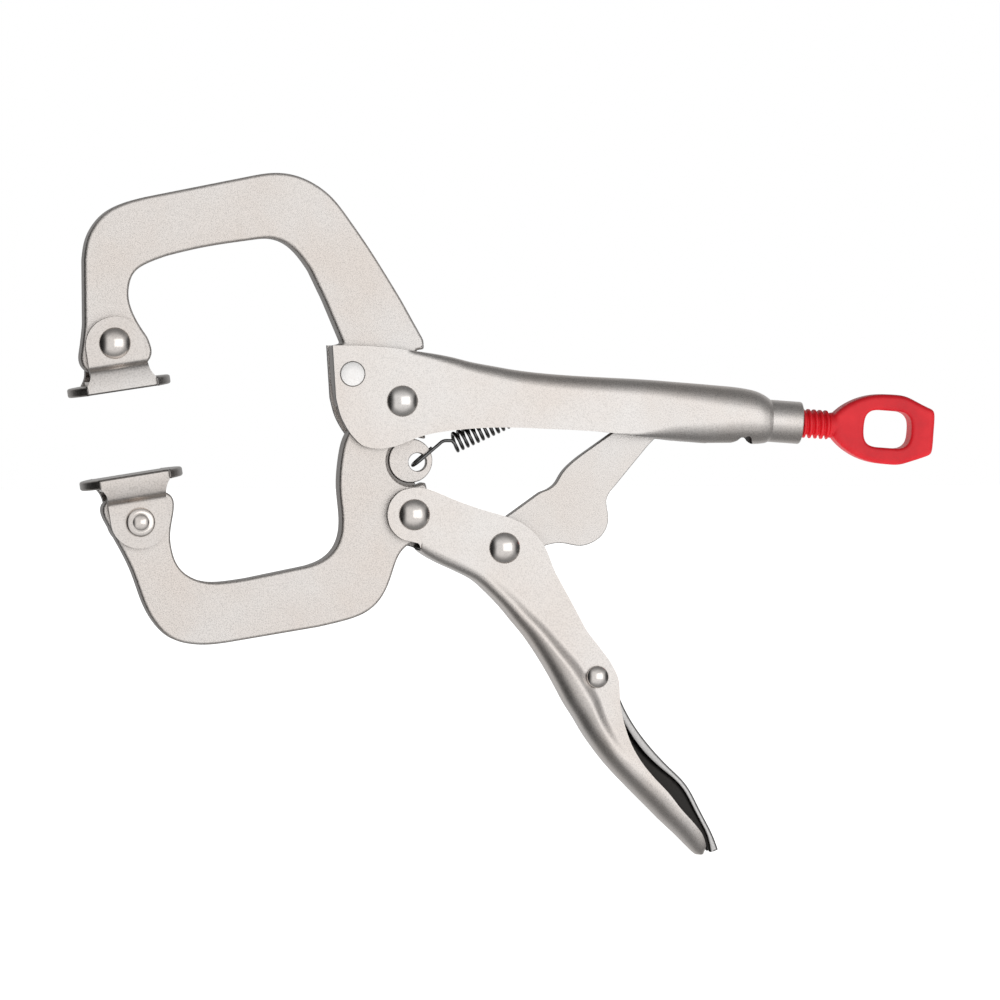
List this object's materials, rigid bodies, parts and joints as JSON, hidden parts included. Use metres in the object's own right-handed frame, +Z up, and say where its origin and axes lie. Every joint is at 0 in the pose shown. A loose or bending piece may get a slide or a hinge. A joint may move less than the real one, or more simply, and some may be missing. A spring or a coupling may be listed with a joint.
{
  "type": "locking c clamp",
  "caption": "Locking C clamp with two C-shaped plate arms, swivel pads, an over-centre toggle in two pressed handles and a red eye screw.",
  "frame": {"origin": "centre of the fixed upper pad's contact face", "axes": "+X back along the upper handle towards the adjusting screw, +Y along the pivot rivets, +Z up from the lower arm to the upper arm"},
  "size_m": [0.1764, 0.0154, 0.1361],
  "materials": {
    "plated_steel": "satin nickel-plated pressed steel",
    "arm_steel": "satin nickel-plated plate with fine grain",
    "rivet_steel": "smooth bright plated steel",
    "spring_wire": "dark drawn spring wire",
    "red_paint": "satin red paint on steel"
  },
  "bodies": {
    "frame": {"upper_handle": "plated_steel", "upper_arm": "arm_steel", "arm_fixing_rivet": "rivet_steel", "jaw_pivot_rivet": "rivet_steel", "spring_anchor": "rivet_steel", "tension_spring": "spring_wire"},
    "moving_arm": {"lower_arm": "arm_steel"},
    "lever": {"lever_handle": "plated_steel", "lever_rivet": "rivet_steel", "link_rivet": "rivet_steel", "release_rivet": "rivet_steel"},
    "link": {"toggle_link": "arm_steel"},
    "release": {"release_lever": "plated_steel"},
    "upper_pad": {"upper_pad_disc": "plated_steel", "upper_pad_saddle": "plated_steel", "upper_pad_rivet": "rivet_steel"},
    "lower_pad": {"lower_pad_disc": "plated_steel", "lower_pad_saddle": "plated_steel", "lower_pad_rivet": "rivet_steel"},
    "screw_slide": {"screw_tip": "rivet_steel"},
    "screw": {"eye_screw": "red_paint"}
  },
  "joints": [
    {"name": "jaw_pivot", "type": "hinge", "parent": "frame", "child": "moving_arm", "pos_m": [0.0559, 0, -0.0021], "axis": [0, 1, 0], "range_deg": [0, 14.2], "stiffness_Nm_per_rad": 0.2, "springref_deg": -8.59, "deforming": ["tension_spring"]},
    {"name": "lever_pivot", "type": "hinge", "parent": "moving_arm", "child": "lever", "pos_m": [0.0583, 0, -0.0247], "axis": [0, 1, 0], "range_deg": [-50, 0.5]},
    {"name": "link_pivot", "type": "hinge", "parent": "lever", "child": "link", "pos_m": [0.0765, 0, -0.0314], "axis": [0, 1, 0], "range_deg": [-0.5, 51.1]},
    {"name": "release_pivot", "type": "hinge", "parent": "lever", "child": "release", "pos_m": [0.0953, 0, -0.0573], "axis": [0, 1, 0], "range_deg": [-6, 1.2]},
    {"name": "upper_pad_swivel", "type": "hinge", "parent": "frame", "child": "upper_pad", "pos_m": [-0.0014, 0, 0.0094], "axis": [0, 1, 0], "range_deg": [-12, 12]},
    {"name": "lower_pad_swivel", "type": "hinge", "parent": "moving_arm", "child": "lower_pad", "pos_m": [0.0036, 0, -0.0259], "axis": [0, 1, 0], "range_deg": [-12, 12]},
    {"name": "screw_advance", "type": "slide", "parent": "frame", "child": "screw_slide", "axis": [0.9973, 0, -0.0732], "range_m": [0, 0.008]},
    {"name": "screw_turn", "type": "hinge", "parent": "screw_slide", "child": "screw", "pos_m": [0.1378, 0, -0.0067], "axis": [0.9973, 0, -0.0732], "range_deg": [0, 2390]}
  ],
  "couplings": [
    {"joint": "lever_pivot", "follows": "jaw_pivot", "ratio": -3.5127},
    {"joint": "link_pivot", "follows": "jaw_pivot", "ratio": 3.5904},
    {"joint": "screw_advance", "follows": "screw_turn", "m_per_rad": 0.00019099}
  ]
}
